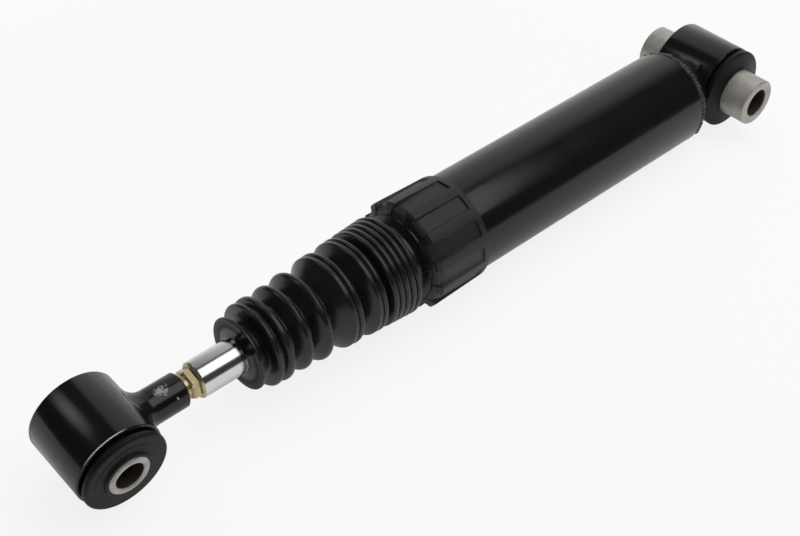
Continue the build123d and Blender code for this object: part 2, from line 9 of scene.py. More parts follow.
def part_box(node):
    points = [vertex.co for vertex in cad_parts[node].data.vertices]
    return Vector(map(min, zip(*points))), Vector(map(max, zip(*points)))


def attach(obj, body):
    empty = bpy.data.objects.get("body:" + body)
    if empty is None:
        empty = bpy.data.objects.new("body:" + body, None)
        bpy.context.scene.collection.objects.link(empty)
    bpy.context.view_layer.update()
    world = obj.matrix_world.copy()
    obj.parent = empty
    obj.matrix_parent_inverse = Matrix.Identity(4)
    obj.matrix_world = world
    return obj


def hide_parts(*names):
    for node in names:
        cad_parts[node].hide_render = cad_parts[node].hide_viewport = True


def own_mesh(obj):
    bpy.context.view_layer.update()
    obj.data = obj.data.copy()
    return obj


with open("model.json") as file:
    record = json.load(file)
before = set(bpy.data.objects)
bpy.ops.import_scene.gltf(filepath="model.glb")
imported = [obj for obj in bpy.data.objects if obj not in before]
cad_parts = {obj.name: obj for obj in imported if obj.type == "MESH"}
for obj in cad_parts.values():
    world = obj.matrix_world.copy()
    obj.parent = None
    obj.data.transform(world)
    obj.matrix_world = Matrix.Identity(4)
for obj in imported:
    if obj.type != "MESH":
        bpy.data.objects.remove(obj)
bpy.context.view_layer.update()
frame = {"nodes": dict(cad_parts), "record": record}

# Reservoir tube
# The outer tube of the damper: drawn steel, cut square at the eye end and rolled over at the rod end.
# It is finished in semi-gloss black stoving enamel, sprayed on after welding.
mm = 0.001
tube_wall = 1.75
tube_lip = 5.5
tube_lip_round = 1.5
tube_end_round = 0.3
corner_reach = 0.49
arc_step = radians(10)
on_axis = 1e-6


def extent(node):
    """A node's lowest and highest corners in millimetres."""
    low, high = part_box(node)
    return low / mm, high / mm


def linear(colour):
    """An sRGB hex colour as linear red, green, blue and alpha."""
    channels = [int(colour[place:place + 2], 16) / 255 for place in (1, 3, 5)]
    return [c / 12.92 if c <= 0.04045 else ((c + 0.055) / 1.055) ** 2.4 for c in channels] + [1.0]


def add_node(tree, kind, inputs=None, **settings):
    """Add a node with its settings, and set or link each of its inputs."""
    node = tree.nodes.new(kind)
    for name, value in settings.items():
        setattr(node, name, value)
    for socket, value in (inputs or {}).items():
        if isinstance(value, bpy.types.NodeSocket):
            tree.links.new(value, node.inputs[socket])
        else:
            node.inputs[socket].default_value = value
    return node


def start_finish(name, **constants):
    """A new material: its node tree, its shader with the constants set, and the piece's own coordinates."""
    material = bpy.data.materials.new(name)
    material.use_nodes = True
    tree = material.node_tree
    shader = tree.nodes["Principled BSDF"]
    for socket, value in constants.items():
        shader.inputs[socket.replace("_", " ")].default_value = value
    place = add_node(tree, "ShaderNodeTexCoord").outputs["Object"]
    return material, tree, shader, place


def rounded(corners):
    """A closed outline in millimetres, from corners of (along, radius) or (along, radius, rounding)."""
    points = []
    for index, corner in enumerate(corners):
        here = Vector(corner[:2])
        if len(corner) < 3:
            points.append(here)
            continue
        back = Vector(corners[index - 1][:2]) - here
        ahead = Vector(corners[(index + 1) % len(corners)][:2]) - here
        half = back.angle(ahead) / 2
        reach = min(corner[2] / tan(half), corner_reach * back.length, corner_reach * ahead.length)
        start = back.normalized() * reach
        stop = ahead.normalized() * reach
        centre = (start + stop).normalized() * reach / cos(half)
        turn = pi - 2 * half
        if (start - centre).cross(stop - centre) < 0:
            turn = -turn
        steps = max(2, ceil(abs(turn) / arc_step))
        for step in range(steps + 1):
            points.append(here + centre + Matrix.Rotation(turn * step / steps, 2) @ (start - centre))
    return points


def lathe(mesh, outline, origin=(0, 0, 0), axis=(1, 0, 0), side=(0, 1, 0), sides=180, place=None):
    """Add a turned form: a closed outline of (along, radius) in millimetres carried round an axis."""
    axis, side = Vector(axis), Vector(side)
    across = axis.cross(side)
    rings = []
    for along, radius in outline:
        ring = []
        for step in range(sides):
            angle = tau * step / sides
            spot = (along, radius) if place is None else place(along, radius, angle)
            if spot[1] < on_axis and ring:
                ring.append(ring[0])
                continue
            outwards = side * cos(angle) + across * sin(angle)
            ring.append(mesh.verts.new(Vector(origin) + (axis * spot[0] + outwards * spot[1]) * mm))
        rings.append(ring)
    for ring, following in zip(rings, rings[1:] + rings[:1]):
        for step in range(sides):
            loop = dict.fromkeys([ring[step - 1], ring[step], following[step], following[step - 1]])
            if len(loop) > 2:
                mesh.faces.new(loop)


def made(name, mesh, sharp=35):
    """The finished mesh as an object, smooth except at edges sharper than the given angle in degrees."""
    bmesh.ops.recalc_face_normals(mesh, faces=mesh.faces)
    data = bpy.data.meshes.new(name)
    mesh.to_mesh(data)
    mesh.free()
    data.shade_smooth()
    data.set_sharp_from_angle(angle=radians(sharp))
    piece = bpy.data.objects.new(name, data)
    bpy.context.scene.collection.objects.link(piece)
    return piece


def turned(name, corners, **where):
    """A single turned piece from its corners."""
    mesh = bmesh.new()
    lathe(mesh, rounded(corners), **where)
    return made(name, mesh)


def fit(piece, body, slot, *nodes, material=None):
    """Give a piece its finish and the body it moves with, and hide the nodes it stands for; the slot is not
    used.
    """
    if material is not None:
        piece.data.materials.clear()
        piece.data.materials.append(material)
    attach(piece, body)
    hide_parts(*nodes)


def emboss(tree, shader, place, size, detail, strength, depth):
    """Give a finish a fine relief, with grains of the given size."""
    grains = add_node(tree, "ShaderNodeTexNoise", {"Vector": place, "Scale": 1 / size, "Detail": detail})
    relief = add_node(tree, "ShaderNodeBump", {
        "Height": grains.outputs["Fac"], "Strength": strength, "Distance": depth})
    tree.links.new(relief.outputs["Normal"], shader.inputs["Normal"])


# Stoving enamel: black, a little warm, with a faint orange peel and gloss that wanders over centimetres.
# A thin scatter of dust lifts it here and there.
enamel_peel = 1.4 * mm
enamel_gloss_patch = 22 * mm
enamel_dust_grain = 0.45 * mm
black_enamel, tree, shader, place = start_finish("black_stoving_enamel", IOR=1.46)
gloss = add_node(tree, "ShaderNodeTexNoise", {"Vector": place, "Scale": 1 / enamel_gloss_patch, "Detail": 3})
spread = add_node(tree, "ShaderNodeMapRange", {
    "Value": gloss.outputs["Fac"], "From Min": 0.3, "From Max": 0.7, "To Min": 0.15, "To Max": 0.22})
tree.links.new(spread.outputs["Result"], shader.inputs["Roughness"])
dust = add_node(tree, "ShaderNodeTexNoise", {"Vector": place, "Scale": 1 / enamel_dust_grain, "Detail": 2})
specks = add_node(tree, "ShaderNodeMapRange", {
    "Value": dust.outputs["Fac"], "From Min": 0.66, "From Max": 0.8, "To Min": 0, "To Max": 0.35})
tint = add_node(tree, "ShaderNodeMix", {"Factor": specks.outputs["Result"], "A": linear("#141311"),
                                        "B": linear("#4a4740")}, data_type="RGBA")
tree.links.new(tint.outputs["Result"], shader.inputs["Base Color"])
emboss(tree, shader, place, enamel_peel, detail=1, strength=0.05, depth=0.05 * mm)

tube_low, tube_high = extent("reservoir_tube")
tube_end, tube_top, tube_r = tube_low.x, tube_high.x, tube_high.z
tube = turned("painted_tube", [
    (tube_end, tube_r - tube_wall),
    (tube_end, tube_r, tube_end_round),
    (tube_top, tube_r, tube_lip_round),
    (tube_top, tube_r - tube_wall - tube_lip),
    (tube_top - tube_wall, tube_r - tube_wall - tube_lip),
    (tube_top - tube_wall, tube_r - tube_wall),
])
fit(tube, "damper_body", "black_paint", "reservoir_tube", material=black_enamel)

# Base cap and welds at the body eye
# The pressed base cap closes the tube and carries the eye ring in a saddle. One bead runs round the tube's
# end, and one along each side of the saddle: overlapping ripples of weld metal under the same enamel.
frame["nodes"]["base_cap"].material_slots[0].material = black_enamel
bead_r = 2.8
bead_step = 1.9
bead_inset = 1.7
bead_proud = 0.45
bead_knots = 96
bead_voxel = 0.28
bead_seed = 7
settle_share = 0.5
settle_rounds = 2
ripple_least = (0.36, 0.78, 0.78)
ripple_most = (0.74, 1.10, 1.10)
saddle_bead_r = 2.5
saddle_bead_back = 0.2


def mottle(tree, shader, place, size, detail, colours, roughness=None):
    """Cloud a finish between two colours, and between two roughnesses, in patches of the given size."""
    patches = add_node(tree, "ShaderNodeTexNoise", {"Vector": place, "Scale": 1 / size, "Detail": detail})
    tint = add_node(tree, "ShaderNodeMix", {
        "Factor": patches.outputs["Fac"], "A": linear(colours[0]), "B": linear(colours[1])}, data_type="RGBA")
    tree.links.new(tint.outputs["Result"], shader.inputs["Base Color"])
    if roughness:
        spread = add_node(tree, "ShaderNodeMapRange", {
            "Value": patches.outputs["Fac"], "To Min": roughness[0], "To Max": roughness[1]})
        tree.links.new(spread.outputs["Result"], shader.inputs["Roughness"])


# The enamel over weld metal: rougher and paler than on the tube, clouded from near black to grey.
weld_grain = 0.7 * mm
weld_enamel, tree, shader, place = start_finish("enamel_over_weld", IOR=1.5)
mottle(tree, shader, place, weld_grain, detail=4, colours=("#141312", "#403e3a"), roughness=(0.14, 0.36))
emboss(tree, shader, place, weld_grain, detail=4, strength=0.35, depth=0.3 * mm)


def start_tree(name, inputs):
    """A new geometry tree with named inputs; returns the tree and its input and output nodes."""
    tree = bpy.data.node_groups.new(name, "GeometryNodeTree")
    tree.interface.new_socket("Geometry", in_out="INPUT", socket_type="NodeSocketGeometry")
    for socket, kind in inputs.items():
        tree.interface.new_socket(socket, in_out="INPUT", socket_type="NodeSocket" + kind)
    tree.interface.new_socket("Geometry", in_out="OUTPUT", socket_type="NodeSocketGeometry")
    return tree, add_node(tree, "NodeGroupInput").outputs, add_node(tree, "NodeGroupOutput")


def run_tree(piece, tree, **values):
    """Put a geometry tree on a piece and set its named inputs."""
    modifier = piece.modifiers.new(tree.name, "NODES")
    modifier.node_group = tree
    for item in tree.interface.items_tree:
        if item.in_out == "INPUT" and item.name in values:
            modifier[item.identifier] = values[item.name]


def bake(piece, sharp):
    """Turn a piece with its modifiers into a plain smooth mesh."""
    graph = bpy.context.evaluated_depsgraph_get()
    data = bpy.data.meshes.new_from_object(piece.evaluated_get(graph))
    piece.modifiers.clear()
    piece.data = data
    data.shade_smooth()
    data.set_sharp_from_angle(angle=radians(sharp))


weld_ripples, given, result = start_tree(
    "weld_ripples", {"Step": "Float", "Size": "Float", "Seed": "Int", "Finish": "Material"})
seam = add_node(weld_ripples, "GeometryNodeMeshToCurve", {"Mesh": given["Geometry"]})
stops = add_node(weld_ripples, "GeometryNodeResampleCurve", {
    "Curve": seam.outputs["Curve"], "Length": given["Step"]}, mode="LENGTH")
ripple = add_node(weld_ripples, "GeometryNodeMeshIcoSphere", {"Radius": 1.0, "Subdivisions": 3})
travel = add_node(weld_ripples, "GeometryNodeInputTangent")
turn = add_node(weld_ripples, "FunctionNodeAlignRotationToVector", {
    "Vector": travel.outputs["Tangent"]}, axis="X")
uneven = add_node(weld_ripples, "FunctionNodeRandomValue", {
    0: ripple_least, 1: ripple_most, "Seed": given["Seed"]}, data_type="FLOAT_VECTOR")
sized = add_node(weld_ripples, "ShaderNodeVectorMath", {
    0: uneven.outputs[0], "Scale": given["Size"]}, operation="SCALE")
laid = add_node(weld_ripples, "GeometryNodeInstanceOnPoints", {
    "Points": stops.outputs["Curve"], "Instance": ripple.outputs["Mesh"],
    "Rotation": turn.outputs["Rotation"], "Scale": sized.outputs["Vector"]})
real = add_node(weld_ripples, "GeometryNodeRealizeInstances", {"Geometry": laid.outputs["Instances"]})
coated = add_node(weld_ripples, "GeometryNodeSetMaterial", {
    "Geometry": real.outputs["Geometry"], "Material": given["Finish"]})
weld_ripples.links.new(coated.outputs["Geometry"], result.inputs["Geometry"])


def weld_bead(name, path, closed, size):
    """A weld bead along a path of points in millimetres, melted together from overlapping ripples."""
    mesh = bmesh.new()
    knots = [mesh.verts.new(Vector(point) * mm) for point in path]
    for first, second in zip(knots, knots[1:] + knots[:1] if closed else knots[1:]):
        mesh.edges.new((first, second))
    piece = made(name, mesh)
    run_tree(piece, weld_ripples, Step=bead_step * mm, Size=size * mm, Seed=bead_seed, Finish=weld_enamel)
    melt = piece.modifiers.new("melt", "REMESH")
    melt.mode = "VOXEL"
    melt.voxel_size = bead_voxel * mm
    settle = piece.modifiers.new("settle", "SMOOTH")
    settle.factor = settle_share
    settle.iterations = settle_rounds
    bake(piece, sharp=60)
    return piece


bead_path_r = tube_r - bead_r + bead_proud
bead_path = []
for step in range(bead_knots):
    angle = tau * step / bead_knots
    bead_path.append((tube_end - bead_inset, bead_path_r * cos(angle), bead_path_r * sin(angle)))
tube_bead = weld_bead("tube_end_bead", bead_path, True, bead_r)
fit(tube_bead, "damper_body", "black_paint", "base_cap_weld", material=weld_enamel)

for node in ("body_eye_weld", "body_eye_weld_lower"):
    weld_low, weld_high = extent(node)
    weld_x = (weld_low.x + weld_high.x) / 2 - saddle_bead_back
    weld_z = (weld_low.z + weld_high.z) / 2
    run = weld_high.y - saddle_bead_r
    bead = weld_bead(node + "_bead", [(weld_x, -run, weld_z), (weld_x, run, weld_z)], False, saddle_bead_r)
    fit(bead, "damper_body", "black_paint", node, material=weld_enamel)

# Body eye ring
# A short length of thick steel tube, welded crosswise into the base cap's saddle and enamelled with it.
# Its far rim has the wider chamfer.
ring_near_edge = 0.6
ring_edge_round = 0.35
ring_far_slope = 0.45
body_ring_wall = 3.5
body_ring_far_edge = 1.2
body_eye = {"origin": (0, 0, 0), "axis": (0, 1, 0), "side": (1, 0, 0)}


def eye_ring(name, ends, outer_r, wall, far_edge, where):
    """A ring about an eye's axis from its far to its near end, with its rims broken."""
    far, near = ends
    corners = []
    for radius, inwards in ((outer_r, -1), (outer_r - wall, 1)):
        rim = [(far, radius + inwards * far_edge * ring_far_slope, ring_edge_round), (far + far_edge, radius),
               (near - ring_near_edge, radius, ring_edge_round),
               (near, radius + inwards * ring_near_edge, ring_edge_round)]
        corners += rim if inwards < 0 else rim[::-1]
    return turned(name, corners, **where)


ring_low, ring_high = extent("body_eye_ring")
body_ring_r = ring_high.z
body_ring = eye_ring("painted_body_ring", (ring_low.y, ring_high.y), body_ring_r, body_ring_wall,
                     body_ring_far_edge, body_eye)
fit(body_ring, "damper_body", "black_paint", "body_eye_ring", material=black_enamel)

# Body eye bush
# Rubber moulded to fit between ring and sleeve, pressed in from the near side, where its flange stands
# clear of the ring. The far end is level with the ring.
collar_wall = 1.4
fit_gap = 0.05
flange_edge_round = 0.3
flange_step = 0.2

# Moulded rubber: near black, dull, with a faint mottled bloom and a skin that is not quite even.
bush_bloom = 6 * mm
bush_skin = 0.5 * mm
bush_rubber, tree, shader, place = start_finish("moulded_bush_rubber", IOR=1.45, Specular_IOR_Level=0.25)
mottle(tree, shader, place, bush_bloom, detail=5, colours=("#0e0e0f", "#171718"), roughness=(0.36, 0.54))
emboss(tree, shader, place, bush_skin, detail=3, strength=0.12, depth=0.1 * mm)


def eye_bush(name, far, near, inner_r, hole_r, where, rim_r, rim_round, groove, edge, lift, collar_lift,
             step_r=0):
    """A bush with a flange at its near end: its rim between groove and edge, its lifted face and collar."""
    collar_r = hole_r + collar_wall
    face = near + lift
    step = []
    if step_r:
        step = [(face, step_r, flange_edge_round),
                (face - flange_step, step_r + flange_step, flange_edge_round)]
        edge -= flange_step
    return turned(name, [
        (far, inner_r),
        (far, hole_r),
        (face + collar_lift, hole_r, flange_edge_round),
        (face + collar_lift, collar_r, 2 * flange_edge_round),
        (face, collar_r, 2 * flange_edge_round),
        *step,
        (near + edge, rim_r, rim_round),
        (near + groove, rim_r, 2 * flange_edge_round),
        (near + groove, inner_r),
    ], **where)


sleeve_high = extent("body_eye_sleeve")[1]
body_sleeve_r = sleeve_high.z
body_bush = eye_bush("body_bush_rubber", ring_low.y, ring_high.y, body_ring_r - body_ring_wall - fit_gap,
                     body_sleeve_r + fit_gap, body_eye, rim_r=body_ring_r - fit_gap, rim_round=1.0,
                     groove=1.6, edge=4.4, lift=6.2, collar_lift=0.4)
fit(body_bush, "damper_body", "bush_rubber", "body_eye_bush", material=bush_rubber)

# Body eye sleeve
# A long steel sleeve, bored for the bolt, sawn off and deburred, with a grey phosphate coat. It is bonded
# into the rubber and winds it up when the damper swings.
body_bore_r = 7.0
sleeve_edge = 0.6
sleeve_edge_round = 0.25

# Phosphated steel: warm light grey, almost dull, finely grained, with rubbed brighter spots.
phosphate_grain = 0.35 * mm
phosphate_cloud = 7 * mm
phosphated_steel, tree, shader, place = start_finish("phosphated_steel", Metallic=0.6)
mottle(tree, shader, place, phosphate_cloud, detail=6, colours=("#8f8b83", "#dcd9d1"), roughness=(0.55, 0.36))
emboss(tree, shader, place, phosphate_grain, detail=2, strength=0.15, depth=0.08 * mm)


def eye_sleeve(name, half, outer_r, bore_r, where):
    """A bored sleeve about an eye's axis with its four rims broken."""
    corners = []
    for radius, inwards in ((outer_r, -1), (bore_r, 1)):
        rim = [(-half, radius + inwards * sleeve_edge, sleeve_edge_round),
               (sleeve_edge - half, radius, sleeve_edge_round),
               (half - sleeve_edge, radius, sleeve_edge_round),
               (half, radius + inwards * sleeve_edge, sleeve_edge_round)]
        corners += rim if inwards < 0 else rim[::-1]
    return turned(name, corners, **where)


# Inside the bore: dark scale left by the drawing, brownish and dull.
scale_cloud = 3 * mm
bore_scale, tree, shader, place = start_finish("dark_bore_scale", Metallic=0.5, Roughness=0.5)
mottle(tree, shader, place, scale_cloud, detail=5, colours=("#3b352d", "#5a5247"))


def darken_bore(piece, bore_r, where):
    """Give the wall of a sleeve's bore its own finish."""
    piece.data.materials.append(bore_scale)
    axis = Vector(where["axis"])
    for face in piece.data.polygons:
        off = face.center - Vector(where["origin"])
        if (off - axis * off.dot(axis)).length < (bore_r + 2 * fit_gap) * mm:
            face.material_index = 1


body_sleeve = eye_sleeve("body_sleeve_steel", sleeve_high.y, body_sleeve_r, body_bore_r, body_eye)
fit(body_sleeve, "body_sleeve", "sleeve_steel", "body_eye_sleeve", material=phosphated_steel)
darken_bore(body_sleeve, body_bore_r, body_eye)

# Gaiter cap
# A moulded cap pushed over the tube's end to hold the gaiter's skirt. Twelve flat pockets, open towards the
# front, leave ribs between them; the front corner is bevelled and rounded.
cap_corner_r = 25.7
cap_corner_x = 209.6
cap_corner_round = 0.8
cap_taper = 0.7
cap_edge_round = 0.4
cap_bevel_x = 212.2
cap_bevel_r = 21.1
cap_bead_seat = 3.0
cap_hole_r = 20.65
cap_step = 0.8
pocket_count = 12
pocket_turn = radians(5.3)
pocket_width = 8.2
pocket_floor_r = 24.1
pocket_back_rim = 2.8
pocket_wall_run = 0.5
pocket_front_round = 5.0
pocket_front_x = 211.2
pocket_front_fall = (213.4, 12.0)
back_cells = 6
floor_share = 0.9
floor_cells = 5
wall_spread = 1.4
wall_reach = 1.25
wall_cells = 8
rib_cells = 5
sector_merge = 0.02

# Filled nylon: black, dull, with the fine even grain of a spark-eroded mould.
nylon_grain = 0.4 * mm
nylon_cloud = 9 * mm
filled_nylon, tree, shader, place = start_finish("filled_black_nylon", IOR=1.53)
mottle(tree, shader, place, nylon_cloud, detail=4, colours=("#161617", "#212122"))
grain = add_node(tree, "ShaderNodeTexNoise", {"Vector": place, "Scale": 1 / nylon_grain, "Detail": 3})
spread = add_node(tree, "ShaderNodeMapRange", {"Value": grain.outputs["Fac"], "To Min": 0.36, "To Max": 0.56})
tree.links.new(spread.outputs["Result"], shader.inputs["Roughness"])
emboss(tree, shader, place, nylon_grain, detail=3, strength=0.25, depth=0.12 * mm)

cap_rear = extent("gaiter_cap")[0].x


def ramp(share):
    """A smooth rise from 0 to 1."""
    share = min(1.0, max(0.0, share))
    return share * share * (3 - 2 * share)


pocket_floor = rounded([
    (cap_rear, pocket_floor_r),
    (pocket_front_x, pocket_floor_r, pocket_front_round),
    pocket_front_fall,
])


def floor_r(along):
    """The pocket floor's radius on its middle line, level and then rounded off towards the front."""
    for first, second in zip(pocket_floor, pocket_floor[1:]):
        if along <= second.x:
            return first.lerp(second, (along - first.x) / (second.x - first.x)).y
    return pocket_floor[-1].y


def pocket_r(along, radius, angle):
    """The cap's outer radius with the pocket round angle zero sunk to its flat floor."""
    depth = max(0.0, radius - floor_r(along) / cos(angle))
    within = ramp((pocket_width / 2 - abs(radius * sin(angle))) / pocket_wall_run)
    return radius - depth * within * ramp((along - cap_rear - pocket_back_rim) / pocket_wall_run)


cap_outline = rounded([
    (cap_rear, tube_r + fit_gap),
    (cap_rear, cap_corner_r - cap_taper, cap_edge_round),
    (cap_corner_x, cap_corner_r, cap_corner_round),
    (cap_bevel_x, cap_bevel_r),
    (cap_bevel_x, cap_hole_r),
    (tube_top + cap_bead_seat, cap_hole_r),
    (tube_top + cap_bead_seat, tube_r + fit_gap),
])

# Stations along the cap's outline: close together on the outside, and closer over each pocket's back wall.
stations = []
for point, following in zip(cap_outline, cap_outline[1:] + cap_outline[:1]):
    outer = point.y > cap_hole_r and following.x > point.x
    steps = ceil((following - point).length / cap_step) if outer else 1
    stations += [point.lerp(following, step / steps) for step in range(steps)]
    if point.x < cap_rear + pocket_back_rim < following.x and outer:
        back = [pocket_back_rim + pocket_wall_run * step / back_cells for step in range(back_cells + 1)]
        stations += [point.lerp(following, (cap_rear + x - point.x) / (following.x - point.x)) for x in back]
outside_end = max(index for index, point in enumerate(stations)
                  if point.y > cap_bevel_r - fit_gap and point.x > cap_corner_x)
stations[1:outside_end + 1] = sorted(stations[1:outside_end + 1],
                                     key=lambda point: (round(point.x, 4), point.y))

# Angles across half a pocket and half a rib: wide steps on floor and rib, close ones over the wall between.
sector_half = pi / pocket_count
wall_angle = pocket_width / 2 / pocket_floor_r
wall_run = pocket_wall_run * wall_spread / pocket_floor_r
half_steps = [wall_angle * floor_share * step / floor_cells for step in range(floor_cells)]
half_steps += [wall_angle - wall_run + wall_run * wall_reach * step / wall_cells
               for step in range(wall_cells + 1)]
half_steps += [wall_angle + (sector_half - wall_angle) * step / rib_cells for step in range(1, rib_cells + 1)]
sector_angles = [-step for step in reversed(half_steps[1:])] + half_steps
mesh = bmesh.new()
grid = []
for index, point in enumerate(stations):
    row = []
    for angle in sector_angles:
        radius = pocket_r(point.x, point.y, angle) if 0 < index <= outside_end else point.y
        row.append(mesh.verts.new((point.x * mm, radius * cos(angle) * mm, radius * sin(angle) * mm)))
    grid.append(row)
for row, following in zip(grid, grid[1:] + grid[:1]):
    for step in range(len(sector_angles) - 1):
        mesh.faces.new((row[step], row[step + 1], following[step + 1], following[step]))
cap = made("ribbed_cap", mesh)

ring_of_pockets, given, result = start_tree(
    "ring_of_pockets", {"Count": "Int", "Turn": "Float", "Merge": "Float", "Finish": "Material"})
seats = add_node(ring_of_pockets, "GeometryNodePoints", {"Count": given["Count"]})
number = add_node(ring_of_pockets, "GeometryNodeInputIndex")
pitch = add_node(ring_of_pockets, "ShaderNodeMath", {0: tau, 1: given["Count"]}, operation="DIVIDE")
angle = add_node(ring_of_pockets, "ShaderNodeMath", {
    0: number.outputs["Index"], 1: pitch.outputs["Value"], 2: given["Turn"]}, operation="MULTIPLY_ADD")
euler = add_node(ring_of_pockets, "ShaderNodeCombineXYZ", {"X": angle.outputs["Value"]})
copies = add_node(ring_of_pockets, "GeometryNodeInstanceOnPoints", {
    "Points": seats.outputs[0], "Instance": given["Geometry"], "Rotation": euler.outputs["Vector"]})
real = add_node(ring_of_pockets, "GeometryNodeRealizeInstances", {"Geometry": copies.outputs["Instances"]})
joined = add_node(ring_of_pockets, "GeometryNodeMergeByDistance", {
    "Geometry": real.outputs["Geometry"], "Distance": given["Merge"]})
coated = add_node(ring_of_pockets, "GeometryNodeSetMaterial", {
    "Geometry": joined.outputs["Geometry"], "Material": given["Finish"]})
ring_of_pockets.links.new(coated.outputs["Geometry"], result.inputs["Geometry"])
run_tree(cap, ring_of_pockets, Count=pocket_count, Turn=pocket_turn, Merge=sector_merge * mm,
         Finish=filled_nylon)
bake(cap, sharp=40)
fit(cap, "damper_body", "cap_plastic", "gaiter_cap", material=filled_nylon)

# Gaiter
# A one-piece rubber bellows that keeps dirt off the rod: a flat nose with a rim, two collars, two plain
# folds, two double-lipped folds and five tight ridges, on a skirt held under the cap.
nose_x = extent("gaiter")[1].x
nose_face = [(5.3, 8.05), (5.55, 8.6), (5.75, 9.6), (5.95, 12.0), (6.0, 15.4)]
nose_rim_r = 16.3
gaiter_wall = 1.5
gaiter_lip_r = 8.05
gaiter_lip_end = 7.8
neck_r = 17.2
neck_front = 218.6
neck_rear = 214.6
neck_front_round = 0.5
gaiter_skirt_r = 20.6
skirt_front = 0.4
gaiter_bead_r = 22.0
gaiter_bead_t = 3.0
first_crest_r = 18.6
last_crest_r = 23.2
first_crest = 13.3
last_crest = 85.2
lip_pairs = (51.6, 64.2)
lip_pitch = 3.0
ridge_start = 72.8
ridge_pitch = 3.1
ridge_count = 5
fold_round = 2.2
fold_rise = 2.27
valley_share = 0.35
collar_flank = 1.0
band_round = 1.1
valley_round = 0.8
groove_round = 0.25
groove_limit = 3.0

# Moulded rubber, satin: near black with a soft sheen, a faint bloom and the fine skin of the mould. The
# nose's flat face gets painted shade: its colour is darkened, and its specular turned down towards its rim
# so that it stays dark. Round the rod it is polished, and mirrors it.
gaiter_bloom = 5 * mm
gaiter_skin = 0.6 * mm
nose_start = 299.7 * mm
nose_full = 299.85 * mm
polish_r = 10.5 * mm
dull_r = 12.5 * mm
satin_rubber, tree, shader, place = start_finish("satin_gaiter_rubber", IOR=1.5)
mottle(tree, shader, place, gaiter_bloom, detail=5, colours=("#131314", "#1e1e1f"), roughness=(0.22, 0.32))
emboss(tree, shader, place, gaiter_skin, detail=2, strength=0.1, depth=0.1 * mm)
parts = add_node(tree, "ShaderNodeSeparateXYZ", {"Vector": place})
nose = add_node(tree, "ShaderNodeMapRange", {
    "Value": parts.outputs["X"], "From Min": nose_start, "From Max": nose_full}).outputs["Result"]
across = add_node(tree, "ShaderNodeCombineXYZ", {"Y": parts.outputs["Y"], "Z": parts.outputs["Z"]})
from_rod = add_node(tree, "ShaderNodeVectorMath", {0: across.outputs["Vector"]}, operation="LENGTH")
dulled = add_node(tree, "ShaderNodeMapRange", {
    "Value": from_rod.outputs["Value"], "From Min": polish_r, "From Max": dull_r,
    "To Min": 0.5, "To Max": 0.02})
sheen = add_node(tree, "ShaderNodeMix", {"Factor": nose, "A": 0.5, "B": dulled.outputs["Result"]})
tree.links.new(sheen.outputs["Result"], shader.inputs["Specular IOR Level"])


def lay_over(tree, shader, share, colour, roughness=None):
    """Lay another colour, and another roughness, over a finish by a share."""
    under = shader.inputs["Base Color"].links[0].from_socket
    tint = add_node(tree, "ShaderNodeMix", {"Factor": share, "A": under, "B": linear(colour)},
                    data_type="RGBA")
    tree.links.new(tint.outputs["Result"], shader.inputs["Base Color"])
    if roughness is not None:
        under = shader.inputs["Roughness"].links[0].from_socket
        dull = add_node(tree, "ShaderNodeMix", {"Factor": share, "A": under, "B": roughness})
        tree.links.new(dull.outputs["Result"], shader.inputs["Roughness"])


# Painted shade: the nose face's colour darkened to near black; its roughness is lowered there for the polish.
lay_over(tree, shader, nose, "#080808", 0.13)

# Each bump: how far behind the nose, half the width of its flat top, depth of the valley behind it.
bumps = [(6.7, 0.7, 4.2), (14.1, 1.1, 3.4), (19.3, 1.15, 6.0), (29.2, 0, 6.6), (39.0, 0, 7.2)]
for lips in lip_pairs:
    bumps += [(lips, 1.05, 1.3), (lips + lip_pitch, 1.05, 7.0)]
bumps += [(ridge_start + ridge_pitch * step, 1.1, 1.5) for step in range(ridge_count)]
crest_slope = (last_crest_r - first_crest_r) / (last_crest - first_crest)
outside = [(nose_x - back, radius) for back, radius in nose_face]
inside = []
for index, (behind, half, depth) in enumerate(bumps):
    crest_r = first_crest_r + crest_slope * (behind - first_crest) if index else nose_rim_r
    if half:
        rounding = min(band_round, half)
        outside += [(nose_x - behind + half, crest_r, rounding), (nose_x - behind - half, crest_r, rounding)]
    else:
        outside.append((nose_x - behind, crest_r + fold_rise, fold_round))
    shallow = max([0] + [d for _, _, d in bumps[max(0, index - 1):index + 1] if d < groove_limit])
    if index:
        inside.append((nose_x - behind, crest_r - 2 * gaiter_wall - shallow))
    if index + 1 < len(bumps):
        next_behind, next_half, _ = bumps[index + 1]
        deep = depth > groove_limit
        gap = next_behind - next_half - behind - half
        valley_x = nose_x - behind - half - gap * (valley_share if deep else 0.5)
        outside.append((valley_x, crest_r - depth, valley_round if deep else groove_round))
        if not index:
            outside.append((nose_x - next_behind + next_half + collar_flank, crest_r - depth, valley_round))
        if deep:
            inside.append((valley_x, crest_r - depth - gaiter_wall))
skirt_inner_r = gaiter_skirt_r - gaiter_wall
ridges_x = nose_x - ridge_start
inside = [spot for spot in inside if spot[0] > ridges_x + gaiter_wall]
outside += [(neck_front, neck_r, neck_front_round), (neck_rear, neck_r, valley_round),
            (cap_bevel_x + skirt_front, gaiter_skirt_r),
            (tube_top + gaiter_bead_t, gaiter_skirt_r), (tube_top + gaiter_bead_t, gaiter_bead_r),
            (tube_top, gaiter_bead_r), (tube_top, skirt_inner_r), (tube_top + gaiter_bead_t, skirt_inner_r),
            (neck_rear, neck_r - gaiter_wall), (neck_front, neck_r - gaiter_wall),
            (neck_front + gaiter_wall, skirt_inner_r), (ridges_x, skirt_inner_r)]
gaiter = turned("rubber_gaiter", outside + inside[::-1] + [(nose_x - gaiter_lip_end, gaiter_lip_r)])
fit(gaiter, "damper_body", "gaiter_rubber", "gaiter", material=satin_rubber)
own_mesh(gaiter)

